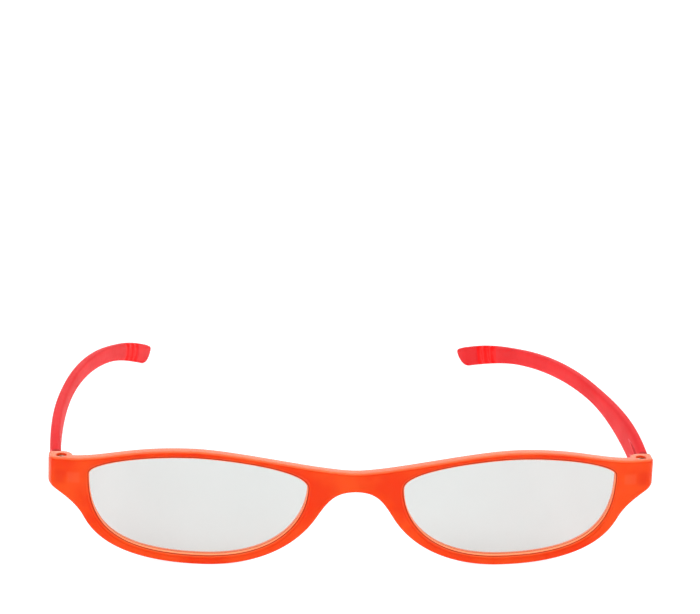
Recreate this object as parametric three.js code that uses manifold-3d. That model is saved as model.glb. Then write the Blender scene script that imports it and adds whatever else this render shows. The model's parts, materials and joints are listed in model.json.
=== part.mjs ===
// Slim reading glasses with two folding temples, standing open on a table: x runs across the face, y from the
// lenses back towards the ears, z up. Left and right are the wearer's, so the left side lies at +x.
// Millimetres. The origin is under the middle of the whole pair, on the surface that it stands on.
import * as THREE from "three";
import { mergeVertices } from "three/addons/utils/BufferGeometryUtils.js";
import Module from "manifold-3d";

const wasm = await Module();
wasm.setup();

// Lens openings, seen from the front. Heights are measured from an opening's lowest point.
const bridgeGap = 21.9; // between the two openings
const openingWidth = 48.9;
const openingHeight = 22.9;
const crownIn = 26.1; // highest point, out from the nose side of the opening
const bellyIn = 23.2; // lowest point, out from the nose side
const noseSideHeight = 16.5; // widest point on the nose side
const earSideHeight = 18.2; // widest point on the ear side

// Front frame
const rimBottom = 2.4; // below the opening
const rimTop = 1.6; // above it
const rimNose = 2.05; // between the opening's nose side and the middle of the nose flank
const rimEar = 1.65; // between the opening's ear side and the middle of the ear flank
const flankHeightNose = 11.55; // both flank points above the table
const flankHeightEar = 10.9;
const bridgeDip = 4.4; // bridge's top below the crown of the rims
const bridgeHeight = 4.5; // bridge, top to arch
const frontDepth = 3; // front to back through a rim
const frontCurve = 370; // radius of the front's bow across the face
const edgeBevel = 0.5;
const endReach = 9.2; // end piece, out past the opening
const endDip = 3; // its flat top below the crown
const endSideHeight = 5.7; // its flat side, top to bottom
const endHeight = 7.9; // its return towards the temple, top to bottom
const endCornerRadius = 2.2; // between its face and its side
const endTopRadius = 0.9; // between its top and its side
const endLowRadius = 2.4; // between its side and its underside, behind the front
const endFlat = 4.6; // its flat top, in from the side
const noseFlankLean = 32.5; // degrees from upright
const earFlankLean = 32.9;
const pull = { // how far the outline keeps its direction at each of its points
  bridge: 7.7,
  crownIn: 10.7,
  crownOut: 14.1,
  endTop: 8,
  endSide: 1.4,
  earFlankUp: 5,
  earFlankDown: 2.6,
  bellyOut: 23,
  bellyIn: 12.6,
  noseFlankDown: 7.75,
  noseFlankUp: 4.55,
  arch: 5,
};

// Lenses: one flat face and one bowed like the front
const lensThickness = 1.55; // in the middle
const lensInset = 0.7; // behind the front's face
const lensOverlap = 0.55; // edge of the lens inside its groove
const grooveGap = 0.15; // lens to groove, all round
const blankSpare = 7; // round blank's radius, beyond the opening's half diagonal

// Hinges
const hingeInset = 2.9; // hinge axis, in from the end piece's side
const hingeWall = 0.75; // plastic in front of the slot
const tangRadius = 1.4;
const tangHeight = 2.4;
const slotGap = 0.25; // tang to slot
const earRadius = 2.55; // the end piece's two ears round the axis
const splitGap = 0.2; // end piece to temple
const pocketReach = 3.75; // room for the folded tang, in from the axis
const screwDiameter = 1.4;
const screwClearance = 0.06; // shank to hole, radial
const screwHeadDiameter = 2.2;
const screwHeadHeight = 0.8;
const screwHeadSunk = 0.4; // head below the end piece's top
const screwTipMargin = 0.6; // plastic left under the screw
const driverSlotWidth = 0.35;
const driverSlotDepth = 0.35;

// Nose pads, moulded on the back of the rims
const padLength = 9.4;
const padWidth = 3.1;
const padDepth = 2.9; // behind the rim's back
const padInset = 0.4; // from the nose flank

// Temples
const templeLength = 145.1; // along the curve, from the split to the tip
const templeInset = 0.45; // its outer face, in from the end piece's side
const templeThickness = 2.6;
const tipThickness = 2.2;
const templeHeight = 7.8; // at the hinge
const waistHeight = 4.1; // in the middle
const tipHeight = 5.1;
const shoulderLength = 8; // from the split to where it starts to slim
const waistStart = 55; // from the split
const waistEnd = 105;
const paddleLength = 10; // full tip height, back from the tip
const startYaw = -1.9; // heading towards the middle, degrees: at the hinge, halfway and at the tip
const middleYaw = 10.7;
const endYaw = 20.4;
const startDrop = -3.35; // heading down, degrees: at the hinge, halfway and at the tip
const middleDrop = 6.65;
const endDrop = 22.45;
const tipCap = 6; // length of the rounded end
const tipLift = 2.3; // how far the rounded end leans up
const tipSlant = 0.4; // how far the end's lower edge falls back, per millimetre of height
const sectionSquareness = 0.6; // of its cross-section: 1 is an ellipse, 0 a rectangle
const templeStations = 36;
const neckInside = 0.2; // inner side of the tang's neck, out from the hinge axis
const channelLength = 20; // two pointed channels on the inner face, from the split
const channelDepth = 0.55;
const upperChannelRadius = 1;
const lowerChannelRadius = 1.5;
const upperChannelUp = 1.7; // their middles, from the centre line
const lowerChannelDown = 1.1;
const gripCount = 3;
const gripFromTip = 15.3; // first grip groove
const gripPitch = 4.3;
const gripRadius = 4.6;
const gripDepth = 0.3;

// Places worked out from the sizes above
const noseX = bridgeGap / 2;
const earX = noseX + openingWidth;
const crownX = noseX + crownIn;
const bellyX = noseX + bellyIn;
const openingTop = rimBottom + openingHeight;
const crownZ = openingTop + rimTop;
const bridgeTop = crownZ - bridgeDip;
const archTop = bridgeTop - bridgeHeight;
const endTop = crownZ - endDip;
const endMiddle = endTop - endHeight / 2;
const sideX = earX + endReach;
const lensBlankRadius = Math.hypot(openingWidth, openingHeight) / 2 + blankSpare;
const hingeX = sideX - hingeInset;
const slotRadius = tangRadius + slotGap;
const hingeY = bow(hingeX) + hingeWall + slotRadius;
const splitY = hingeY + earRadius + splitGap; // where the temple begins

// How far the front's face lies back at x.
function bow(x) {
  return (x * x) / (2 * frontCurve);
}

function solid(geometry) {
  const bare = geometry.index ? geometry.toNonIndexed() : geometry.clone();
  for (const name of Object.keys(bare.attributes)) {
    if (name !== "position") bare.deleteAttribute(name);
  }
  const merged = mergeVertices(bare, 1e-4);
  return new wasm.Manifold(
    new wasm.Mesh({
      numProp: 3,
      vertProperties: new Float32Array(merged.attributes.position.array),
      triVerts: new Uint32Array(merged.index.array),
    }),
  );
}

function geometryOf(body) {
  const mesh = body.getMesh();
  const geometry = new THREE.BufferGeometry();
  geometry.setAttribute("position", new THREE.BufferAttribute(mesh.vertProperties, 3));
  geometry.setIndex(new THREE.BufferAttribute(mesh.triVerts, 1));
  geometry.computeVertexNormals();
  return geometry;
}

function join(bodies) {
  return bodies.reduce((sum, body) => sum.add(body));
}

function cut(body, tools) {
  return tools.reduce((rest, tool) => rest.subtract(tool), body);
}

const v2 = (x, y) => new THREE.Vector2(x, y);

// Points of a chain of cubic curves, each given by its four points, without the last point.
function chain(curves, steps) {
  return curves.flatMap((c) => new THREE.CubicBezierCurve(...c).getPoints(steps).slice(0, -1));
}

// A quarter of an opening between two extreme points. A pull is the share of the quarter's box that the
// curve keeps its first or last direction for: rises is true where it sets out upright.
function quarter(from, to, firstPull, lastPull, rises) {
  const dx = to.x - from.x;
  const dy = to.y - from.y;
  const first = rises ? v2(from.x, from.y + firstPull * dy) : v2(from.x + firstPull * dx, from.y);
  const last = rises ? v2(to.x - lastPull * dx, to.y) : v2(to.x, to.y - lastPull * dy);
  return [from, first, last, to];
}

// The left opening's outline, grown outwards by a margin, as points running clockwise from the nose side.
function openingPoints(margin) {
  const nose = v2(noseX, rimBottom + noseSideHeight);
  const crown = v2(crownX, openingTop);
  const ear = v2(earX, rimBottom + earSideHeight);
  const belly = v2(bellyX, rimBottom);
  const points = chain(
    [
      quarter(nose, crown, 0.665, 0.3, true),
      quarter(crown, ear, 0.49, 0.485, false),
      quarter(ear, belly, 0.67, 0.765, true),
      quarter(belly, nose, 0.845, 0.305, false),
    ],
    11,
  );
  return points.map((p, i) => {
    const along = points[(i + 1) % points.length].clone().sub(points.at(i - 1)).normalize();
    return v2(p.x - along.y * margin, p.y + along.x * margin);
  });
}

// Half of the front's outline, from the top of the bridge round the left eye to the arch.
function halfOutline() {
  const bridge = v2(0, bridgeTop);
  const crown = v2(crownX, crownZ);
  const endStart = v2(sideX - endFlat, endTop);
  const endOut = v2(sideX - endTopRadius, endTop);
  const sideStart = v2(sideX, endTop - endTopRadius);
  const sideEnd = v2(sideX, endTop - endSideHeight);
  const earFlank = v2(earX + rimEar, flankHeightEar);
  const belly = v2(bellyX, 0);
  const noseFlank = v2(noseX - rimNose, flankHeightNose);
  const arch = v2(0, archTop);
  const off = (p, dx, dy = 0) => v2(p.x + dx, p.y + dy);
  const up = (p, lean, length) => {
    const angle = THREE.MathUtils.degToRad(lean);
    return off(p, Math.sin(angle) * length, Math.cos(angle) * length);
  };
  return [
    ...chain(
      [
        [bridge, off(bridge, pull.bridge), off(crown, -pull.crownIn), crown],
        [crown, off(crown, pull.crownOut), off(endStart, -pull.endTop), endStart],
      ],
      12,
    ),
    endStart,
    ...chain([[endOut, off(endOut, endTopRadius / 2), off(sideStart, 0, endTopRadius / 2), sideStart]], 4),
    sideStart,
    ...chain(
      [
        [sideEnd, off(sideEnd, 0, -pull.endSide), up(earFlank, earFlankLean, pull.earFlankUp), earFlank],
        [earFlank, up(earFlank, earFlankLean, -pull.earFlankDown), off(belly, pull.bellyOut), belly],
        [belly, off(belly, -pull.bellyIn), up(noseFlank, -noseFlankLean, -pull.noseFlankDown), noseFlank],
        [noseFlank, up(noseFlank, -noseFlankLean, pull.noseFlankUp), off(arch, pull.arch), arch],
      ],
      11,
    ),
    arch,
  ];
}

const mirrored = (points) => points.map((p) => v2(-p.x, p.y)).reverse();

// A flat outline in x and z, carried from one depth to another, with bevelled edges if asked.
function plate(shape, fromY, toY, bevel = 0) {
  const geometry = new THREE.ExtrudeGeometry(shape, {
    depth: toY - fromY - 2 * bevel,
    bevelEnabled: bevel > 0,
    bevelThickness: bevel,
    bevelSize: bevel,
    bevelOffset: -bevel,
    bevelSegments: 1,
    curveSegments: 12,
  });
  return geometry.rotateX(Math.PI / 2).translate(0, toY - bevel, 0);
}

// A flat outline in x and y, carried from one height to another.
function slab(shape, fromZ, toZ) {
  const geometry = new THREE.ExtrudeGeometry(shape, {
    depth: toZ - fromZ,
    bevelEnabled: false,
    curveSegments: 12,
  });
  return geometry.translate(0, 0, fromZ);
}

function bowed(geometry) {
  const position = geometry.attributes.position;
  for (let i = 0; i < position.count; i++) {
    position.setY(i, position.getY(i) + bow(position.getX(i)));
  }
  return geometry;
}

// A round post about the hinge axis.
function post(radius, fromZ, toZ) {
  const cylinder = new THREE.CylinderGeometry(radius, radius, toZ - fromZ, 28);
  return cylinder.rotateX(Math.PI / 2).translate(hingeX, hingeY, (fromZ + toZ) / 2);
}

// The left lens, edged from a round blank: bowed in front, flat behind. The same shape grown by a gap cuts
// its groove.
function lens(margin, gap) {
  const blank = [v2(0, -gap)];
  const rings = 6;
  for (let i = 1; i <= rings; i++) {
    const r = (lensBlankRadius * i) / rings;
    blank.push(v2(r, bow(r) - gap));
  }
  blank.push(v2(lensBlankRadius, lensThickness + gap), v2(0, lensThickness + gap));
  const middleX = (noseX + earX) / 2;
  const middleZ = rimBottom + openingHeight / 2;
  const turned = new THREE.LatheGeometry(blank, 48);
  turned.rotateZ(Math.atan(middleX / frontCurve)).translate(middleX, bow(middleX) + lensInset, middleZ);
  const edge = plate(new THREE.Shape(openingPoints(margin)), -frontDepth, bow(earX) + 2 * frontDepth);
  return solid(edge).intersect(solid(turned));
}

// What the left end piece adds behind the front: two ears round the hinge axis, joined in front. Seen from
// the front its outer corners are round.
function endReturn() {
  const plan = new THREE.Shape();
  plan.moveTo(sideX, bow(sideX) + 1);
  plan.lineTo(sideX, hingeY + earRadius);
  plan.lineTo(hingeX, hingeY + earRadius);
  plan.absarc(hingeX, hingeY, earRadius, Math.PI / 2, Math.PI, false);
  plan.lineTo(hingeX - earRadius, bow(hingeX) + 1);
  const bottom = endTop - endHeight;
  const inside = hingeX - earRadius - 1;
  const face = new THREE.Shape();
  face.moveTo(inside, bottom);
  face.absarc(sideX - endLowRadius, bottom + endLowRadius, endLowRadius, -Math.PI / 2, 0, false);
  face.absarc(sideX - endTopRadius, endTop - endTopRadius, endTopRadius, 0, Math.PI / 2, false);
  face.lineTo(inside, endTop);
  return solid(slab(plan, bottom, endTop)).intersect(solid(plate(face, 0, splitY)));
}

// Rounds the left end piece's corner between the front's face and its side.
function cornerCutter() {
  const lean = Math.atan(sideX / frontCurve);
  const centreX = sideX - endCornerRadius;
  const centreY = bow(centreX) + endCornerRadius / Math.cos(lean);
  const shape = new THREE.Shape();
  shape.moveTo(sideX + 1, centreY);
  shape.lineTo(sideX, centreY);
  shape.absarc(centreX, centreY, endCornerRadius, 0, lean - Math.PI / 2, true);
  shape.lineTo(centreX, centreY - endCornerRadius - 2);
  shape.lineTo(sideX + 1, centreY - endCornerRadius - 2);
  return solid(slab(shape, -1, crownZ + 1));
}

// The slot that the left temple's tang turns in, open behind and on the inside.
function hingeSlot() {
  const half = tangHeight / 2 + slotGap;
  const back = splitY + 1;
  const shape = new THREE.Shape();
  shape.moveTo(hingeX + slotRadius, hingeY);
  shape.lineTo(hingeX + slotRadius, back);
  shape.lineTo(hingeX - pocketReach, back);
  shape.lineTo(hingeX - pocketReach, hingeY - slotRadius);
  shape.lineTo(hingeX, hingeY - slotRadius);
  shape.absarc(hingeX, hingeY, slotRadius, -Math.PI / 2, 0, false);
  return solid(slab(shape, endMiddle - half, endMiddle + half));
}

const screwRadius = screwDiameter / 2;
const screwTop = endTop - screwHeadSunk;
const screwSeat = screwTop - screwHeadHeight;
const screwTip = endTop - endHeight + screwTipMargin;

function screwHole() {
  const bore = solid(post(screwRadius + screwClearance, screwTip - screwClearance, endTop + 1));
  const seat = solid(post(screwHeadDiameter / 2 + screwClearance, screwSeat - screwClearance, endTop + 1));
  return bore.add(seat);
}

// A nose pad: a rounded swelling on the back of the left rim, along the nose flank.
function nosePad() {
  const x = noseX - rimNose + padInset + padWidth / 2;
  const back = bow(x) + frontDepth - edgeBevel;
  const pad = new THREE.SphereGeometry(0.5, 16, 12).scale(padWidth, 2 * padDepth, padLength);
  pad.rotateY(-THREE.MathUtils.degToRad(noseFlankLean)).translate(x, back, flankHeightNose);
  const ahead = new THREE.BoxGeometry(padLength, padDepth, padLength);
  ahead.translate(x, back - padDepth / 2 - edgeBevel, flankHeightNose);
  return solid(pad).subtract(solid(ahead));
}

function frontFrame() {
  const half = halfOutline();
  const shape = new THREE.Shape([...half, ...mirrored(half).slice(1, -1)].reverse());
  const left = openingPoints(0);
  shape.holes = [new THREE.Path(left), new THREE.Path(mirrored(left))];
  const front = solid(bowed(plate(shape, 0, frontDepth, edgeBevel)));
  const both = (body) => [body, body.mirror([1, 0, 0])];
  const added = [...both(endReturn()), ...both(nosePad())];
  const cutters = [cornerCutter(), lens(lensOverlap + grooveGap, grooveGap), hingeSlot(), screwHole()];
  return cut(join([front, ...added]), cutters.flatMap(both));
}

// A value that passes smoothly through three others, at shares 0, 0.5 and 1.
function through(first, middle, last, share) {
  const bulge = 4 * middle - 2 * (first + last);
  return THREE.MathUtils.lerp(first, last, share) + bulge * share * (1 - share);
}

// The left temple's centre line, as stations with a place, a direction and a share of the length.
function templeLine() {
  const heading = (share) => {
    const yaw = THREE.MathUtils.degToRad(through(startYaw, middleYaw, endYaw, share));
    const drop = THREE.MathUtils.degToRad(through(startDrop, middleDrop, endDrop, share));
    return new THREE.Vector3(
      -Math.sin(yaw) * Math.cos(drop),
      Math.cos(yaw) * Math.cos(drop),
      -Math.sin(drop),
    );
  };
  const step = templeLength / templeStations;
  const place = new THREE.Vector3(sideX - templeInset - templeThickness / 2, splitY, endMiddle);
  const stations = [];
  for (let i = 0; i <= templeStations; i++) {
    stations.push({ place: place.clone(), along: heading(i / templeStations), share: i / templeStations });
    place.addScaledVector(heading((i + 0.5) / templeStations), step);
  }
  return stations;
}

// Half of the temple's thickness and height at a share of its length: it slims behind the hinge to a long
// waist and widens to a paddle at the tip.
function templeHalves(share) {
  const along = share * templeLength;
  const slimming = THREE.MathUtils.smoothstep(along, shoulderLength, waistStart);
  const widening = THREE.MathUtils.smoothstep(along, waistEnd, templeLength - paddleLength);
  const front = THREE.MathUtils.lerp(templeHeight, waistHeight, slimming);
  const height = front + (tipHeight - waistHeight) * widening;
  const thickness = THREE.MathUtils.lerp(templeThickness, tipThickness, share);
  return [thickness / 2, height / 2];
}

// Across and upright directions of a section that stands square to the line.
function sectionAxes(along) {
  const across = new THREE.Vector3(along.y, -along.x, 0).normalize();
  return [across, across.clone().cross(along)];
}

// A section with flat sides and round corners, as points counter-clockwise seen from the tip.
function sectionPoints(centre, along, halfThickness, halfHeight) {
  const [across, upright] = sectionAxes(along);
  const count = 16;
  return Array.from({ length: count }, (_, i) => {
    const angle = (2 * Math.PI * i) / count;
    const c = Math.cos(angle);
    const s = Math.sin(angle);
    return centre
      .clone()
      .addScaledVector(across, halfThickness * Math.sign(c) * Math.abs(c) ** sectionSquareness)
      .addScaledVector(upright, halfHeight * Math.sign(s) * Math.abs(s) ** sectionSquareness);
  });
}

// A closed body through a list of sections with the same number of points, with flat ends.
function loft(sections) {
  const count = sections[0].length;
  const middle = (points) => points.reduce((sum, p) => sum.add(p), new THREE.Vector3()).divideScalar(count);
  const positions = sections.flat();
  positions.push(middle(sections[0]), middle(sections.at(-1)));
  const last = (sections.length - 1) * count;
  const index = [];
  for (let j = 0; j < count; j++) {
    const next = (j + 1) % count;
    for (let i = 0; i < last; i += count) {
      index.push(i + j, i + count + next, i + next, i + j, i + count + j, i + count + next);
    }
    index.push(last + count, j, next, last + count + 1, last + next, last + j);
  }
  const geometry = new THREE.BufferGeometry().setFromPoints(positions);
  geometry.setIndex(index);
  return geometry;
}

// The left temple's blade, from just ahead of the split to its rounded tip.
function templeBlade(stations) {
  const first = stations[0];
  const lead = first.place.clone().addScaledVector(first.along, -1);
  const sections = [sectionPoints(lead, first.along, ...templeHalves(0))];
  const capStart = 1 - tipCap / templeLength;
  for (const { place, along, share } of stations.filter((s) => s.share < capStart)) {
    sections.push(sectionPoints(place, along, ...templeHalves(share)));
  }
  const end = stations.at(-1);
  const [thick, high] = templeHalves(1);
  const upright = sectionAxes(end.along)[1];
  const rings = 8;
  for (let i = 0; i <= rings; i++) {
    const angle = (Math.PI / 2) * (i / (rings + 0.4));
    const size = Math.cos(angle) ** 0.7;
    const centre = end.place.clone().addScaledVector(end.along, tipCap * (Math.sin(angle) - 1));
    centre.addScaledVector(upright, tipLift * (1 - size));
    const points = sectionPoints(centre, end.along, thick * size, high * size);
    for (const point of points) {
      const below = high * size - point.clone().sub(centre).dot(upright);
      point.addScaledVector(end.along, -tipSlant * Math.sin(angle) * below);
    }
    sections.push(points);
  }
  const before = new THREE.BoxGeometry(20, 10, 30).translate(sideX, splitY - 5, endMiddle);
  return solid(loft(sections)).subtract(solid(before));
}

// The left temple's tang: a round eye about the hinge axis and a neck into the blade.
function tang() {
  const shape = new THREE.Shape();
  shape.moveTo(hingeX + tangRadius, hingeY);
  shape.lineTo(hingeX + tangRadius, splitY + 1);
  shape.lineTo(hingeX + neckInside, splitY + 1);
  shape.lineTo(hingeX + neckInside, splitY - splitGap);
  shape.lineTo(hingeX - tangRadius, hingeY);
  shape.absarc(hingeX, hingeY, tangRadius, Math.PI, 2 * Math.PI, false);
  const body = solid(slab(shape, endMiddle - tangHeight / 2, endMiddle + tangHeight / 2));
  return body.subtract(solid(post(screwRadius + screwClearance, endMiddle - tangHeight, endMiddle + tangHeight)));
}

// A pointed channel along the inner face, from the split backwards, at a height above the centre line.
function channel(stations, radius, height) {
  const start = stations[0];
  const end = stations.find((s) => s.share * templeLength >= channelLength);
  const along = end.place.clone().sub(start.place).normalize();
  const [across, upright] = sectionAxes(along);
  const profile = [];
  for (let i = 0; i <= 12; i++) {
    const share = i / 12;
    profile.push(v2(radius * (1 - share * share), share * channelLength));
  }
  profile.unshift(v2(radius, -1), v2(0, -1));
  const spindle = new THREE.LatheGeometry([profile[1], profile[0], ...profile.slice(2)], 20);
  const turn = new THREE.Matrix4().makeBasis(across, along, upright);
  const offset = templeThickness / 2 + radius - channelDepth;
  const place = start.place.clone().addScaledVector(across, -offset).addScaledVector(upright, height);
  return solid(spindle.applyMatrix4(turn.setPosition(place)));
}

// A shallow grip groove across the inner face, some way from the tip.
function gripGroove(stations, fromTip) {
  const share = 1 - fromTip / templeLength;
  const station = stations.find((s) => s.share >= share);
  const [across, upright] = sectionAxes(station.along);
  const back = (station.share - share) * templeLength;
  const offset = templeHalves(share)[0] + gripRadius - gripDepth;
  const place = station.place
    .clone()
    .addScaledVector(station.along, -back)
    .addScaledVector(across, -offset);
  const bar = new THREE.CylinderGeometry(gripRadius, gripRadius, tipHeight + 2, 20);
  const turn = new THREE.Matrix4().makeBasis(across, upright, station.along.clone().negate());
  return solid(bar.applyMatrix4(turn.setPosition(place)));
}

function temple() {
  const stations = templeLine();
  const tools = [
    channel(stations, upperChannelRadius, upperChannelUp),
    channel(stations, lowerChannelRadius, -lowerChannelDown),
  ];
  for (let i = 0; i < gripCount; i++) {
    tools.push(gripGroove(stations, gripFromTip + i * gripPitch));
  }
  return cut(templeBlade(stations), tools).add(tang());
}

// The left hinge screw: a sunk round head with a driver slot on a plain shank.
function hingeScrew() {
  const headRadius = screwHeadDiameter / 2;
  const profile = [
    v2(0, screwTip),
    v2(screwRadius, screwTip),
    v2(screwRadius, screwSeat),
    v2(headRadius, screwSeat),
    v2(headRadius, screwTop - 0.2),
    v2(headRadius - 0.2, screwTop),
    v2(0, screwTop),
  ];
  const turned = new THREE.LatheGeometry(profile, 28).rotateX(Math.PI / 2).translate(hingeX, hingeY, 0);
  const slot = new THREE.BoxGeometry(screwHeadDiameter + 1, driverSlotWidth, 2 * driverSlotDepth);
  slot.rotateZ(0.6).translate(hingeX, hingeY, screwTop);
  return solid(turned).subtract(solid(slot));
}

const finishes = {
  front: { color: 0xff4a1c, roughness: 0.22, metalness: 0 },
  temple: { color: 0xe8323a, roughness: 0.25, metalness: 0 },
  lens: { color: 0xe9eceb, roughness: 0.03, metalness: 0, transparent: true, opacity: 0.35 },
  screw: { color: 0xb9bcc0, roughness: 0.3, metalness: 1 },
};

const glasses = new THREE.Group();

function place(name, body, finish) {
  const mesh = new THREE.Mesh(geometryOf(body), new THREE.MeshStandardMaterial(finishes[finish]));
  mesh.name = name;
  glasses.add(mesh);
}

function placePair(name, body, finish) {
  place(name + "_left", body, finish);
  place(name + "_right", body.mirror([1, 0, 0]), finish);
}

place("front_frame", frontFrame(), "front");
placePair("lens", lens(lensOverlap, 0), "lens");
placePair("hinge_screw", hingeScrew(), "screw");
placePair("temple", temple(), "temple");

// The pair stands on its rims and tips, so its lowest point is the table, and it is centred over the origin.
const extent = new THREE.Box3().setFromObject(glasses);
const middle = extent.getCenter(new THREE.Vector3());
glasses.position.set(-middle.x, -middle.y, -extent.min.z);

export default glasses;
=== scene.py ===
"""Slim reading glasses with folding temples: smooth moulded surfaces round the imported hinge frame.

Each surface is worked out in millimetres in the frame of the glasses, with the bridge's face at y = 0, and
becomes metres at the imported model's place when its mesh is made. The left side lies at +x.
"""

import json
import math

import bmesh
import bpy
import numpy as np
from mathutils import Matrix, Vector


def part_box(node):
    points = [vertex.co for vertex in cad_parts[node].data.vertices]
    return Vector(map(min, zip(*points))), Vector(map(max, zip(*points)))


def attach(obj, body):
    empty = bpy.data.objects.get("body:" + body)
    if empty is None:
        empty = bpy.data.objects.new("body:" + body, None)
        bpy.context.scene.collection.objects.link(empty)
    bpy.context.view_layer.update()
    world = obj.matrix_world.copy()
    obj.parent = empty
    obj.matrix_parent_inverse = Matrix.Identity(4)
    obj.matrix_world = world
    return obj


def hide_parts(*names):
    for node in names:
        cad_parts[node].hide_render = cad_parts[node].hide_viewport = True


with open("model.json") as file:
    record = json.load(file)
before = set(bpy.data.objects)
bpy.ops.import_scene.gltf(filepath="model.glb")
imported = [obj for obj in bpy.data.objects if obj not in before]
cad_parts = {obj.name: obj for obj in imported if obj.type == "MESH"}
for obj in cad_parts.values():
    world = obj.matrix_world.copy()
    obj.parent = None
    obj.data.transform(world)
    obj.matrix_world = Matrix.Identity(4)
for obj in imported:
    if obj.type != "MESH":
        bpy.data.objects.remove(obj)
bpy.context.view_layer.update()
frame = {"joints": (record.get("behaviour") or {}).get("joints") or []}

MM = 0.001
FACE_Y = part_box("front_frame")[0].y
JOINTS = {joint["name"]: joint for joint in frame["joints"]}
HINGE = [v / MM for v in JOINTS["left_temple_fold"]["pos_m"]]

# Lens openings
BRIDGE_GAP = 21.9
OPENING_WIDTH = 48.9
OPENING_HEIGHT = 22.9
CROWN_IN = 26.1
BELLY_IN = 23.2
NOSE_SIDE = 16.5
EAR_SIDE = 18.2
OPENING_PULLS = [(0.665, 0.3), (0.49, 0.485), (0.67, 0.765), (0.845, 0.305)]

# Front
RIM_BOTTOM = 2.4
RIM_TOP = 1.6
RIM_NOSE = 2.05
RIM_EAR = 1.65
FLANK_NOSE = 11.55
FLANK_EAR = 10.9
BRIDGE_DIP = 4.4
BRIDGE_HEIGHT = 4.5
FRONT_DEPTH = 3.0
FRONT_CURVE = 370.0
END_REACH = 9.2
END_DIP = 3.0
END_SIDE = 5.7
END_HEIGHT = 7.9
END_CORNER = 2.2
END_TOP_RADIUS = 0.9
END_FLAT = 4.6
FACE_ROUND = 0.62
BACK_ROUND = 0.45
RING_WIDTH = 0.8
BACK_LIP = 0.33
FACE_DIP = 0.1
LEAST_DEPTH = 1.2
NOSE_LEAN = 32.5
EAR_LEAN = 32.9

# How far the outline's curves are drawn out along their end directions, before and after each place
BRIDGE_PULL = 7.7
CROWN_PULLS = (10.7, 14.1)
END_TOP_PULL = 8
SIDE_PULL = 1.4
EAR_PULLS = (5, 2.6)
BELLY_PULLS = (23, 12.6)
NOSE_PULLS = (7.75, 4.55)
ARCH_PULL = 5

# Lip, thin line and band, then the back's lip, as distance from the opening and depth below the surface
RING = [
    (0, 0.4), (0.04, 0.33), (0.12, 0.28), (0.21, 0.25), (0.26, 0.33),
    (0.32, 0.33), (0.37, 0.21), (0.47, 0.12), (0.58, 0.06), (0.7, 0.02),
]
BACK_RING_START = 0.35
BACK_RING = [(0.22, 0.06), (0.1, 0.17), (0, BACK_LIP)]

# How finely the front is drawn
OUTLINE_POINTS = 380
MIDDLE_POINTS = 9
FACE_ROWS = 16
BACK_ROWS = 26
EVENING_REACH = 3.2

# The end piece's return
RETURN_START = 1.2
RETURN_CORNER = 1.5
RETURN_EDGE = 0.22

# Lenses
LENS_THICKNESS = 1.55
LENS_INSET = 0.7
LENS_OVERLAP = 0.5
GROOVE_GAP = 0.12

# Nose pads
PAD_LENGTH = 9.4
PAD_WIDTH = 3.1
PAD_RISE = 2.35
PAD_INSET = 0.4
PAD_NOSE_REACH = 0.75

# Hinges
EAR_RADIUS = 2.55
TANG_RADIUS = 1.4
TANG_HEIGHT = 2.4
SLOT_GAP = 0.25
SPLIT_GAP = 0.2
POCKET_REACH = 3.75
NECK_INSIDE = 0.2
SHANK_RADIUS = 0.7
SHANK_GAP = 0.06
HEAD_RADIUS = 1.1
HEAD_HEIGHT = 0.8
HEAD_SUNK = 0.4
SCREW_TIP = 0.6
HEAD_ROUND = 0.25
DRIVER_ANGLE = 0.6
DRIVER_HALF_WIDTH = 0.18
DRIVER_DEPTH = 0.35

# Temples
TEMPLE_LENGTH = 145.05
TEMPLE_INSET = 0.45
TEMPLE_THICKNESS = 2.6
TIP_THICKNESS = 2.2
TEMPLE_HEIGHT = 7.8
WAIST_HEIGHT = 4.1
TIP_HEIGHT = 5.1
SHOULDER_LENGTH = 8
WAIST_START = 55
WAIST_END = 105
PADDLE_LENGTH = 10
SECTION_POWER = 0.6
SECTION_RATIO = 2.6
SECTION_POINTS = 104
YAW = (-1.9, 10.7, 20.4)
DROP = (-3.35, 6.65, 22.45)
TIP_CAP = 6.0
TIP_LIFT = 2.3
TIP_SLANT = 0.4
GRIP_FROM_TIP = 15.3
GRIP_PITCH = 4.3
GRIP_HALF = 1.7
GRIP_DEPTH = 0.3
GRIP_COUNT = 3
GRIP_BEND = 0.7
GRIP_POWER = 0.8
CHANNEL_LENGTH = 20.0
CHANNEL_DEPTH = 0.55
CHANNELS = [(1.0, 1.7), (1.5, -1.1)]
HINGE_STRETCH = 24
GRIP_STRETCH = 18
SPLIT_BLEND = 3

nose_x = BRIDGE_GAP / 2
ear_x = nose_x + OPENING_WIDTH
opening_top = RIM_BOTTOM + OPENING_HEIGHT
crown_z = opening_top + RIM_TOP
bridge_top = crown_z - BRIDGE_DIP
arch_top = bridge_top - BRIDGE_HEIGHT
end_top = crown_z - END_DIP
end_bottom = end_top - END_HEIGHT
end_middle = (end_top + end_bottom) / 2
side_x = ear_x + END_REACH
hinge_x = HINGE[0]
hinge_y = HINGE[1] - FACE_Y / MM
split_y = hinge_y + EAR_RADIUS + SPLIT_GAP


# ---------------------------------------------------------------- curves


def bow(x):
    """How far the front's face lies back: the square of x over twice the bow's radius."""
    return x * x / (2 * FRONT_CURVE)


def smooth(value, low, high):
    """Zero below low, one above high, and three t squared less two t cubed between them."""
    t = np.clip((value - low) / (high - low), 0, 1)
    return t * t * (3 - 2 * t)


def through(first, middle, last, t):
    """The parabola that passes three values at t of 0, a half and 1."""
    return first + (last - first) * t + (4 * middle - 2 * (first + last)) * t * (1 - t)


def bezier(points, count=60):
    """A cubic Bezier curve at even steps of its parameter, without its last point."""
    a, b, c, d = (np.array(p, float) for p in points)
    t = np.linspace(0, 1, count, endpoint=False)[:, None]
    return (1 - t) ** 3 * a + 3 * (1 - t) ** 2 * t * b + 3 * (1 - t) * t * t * c + t**3 * d


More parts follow.
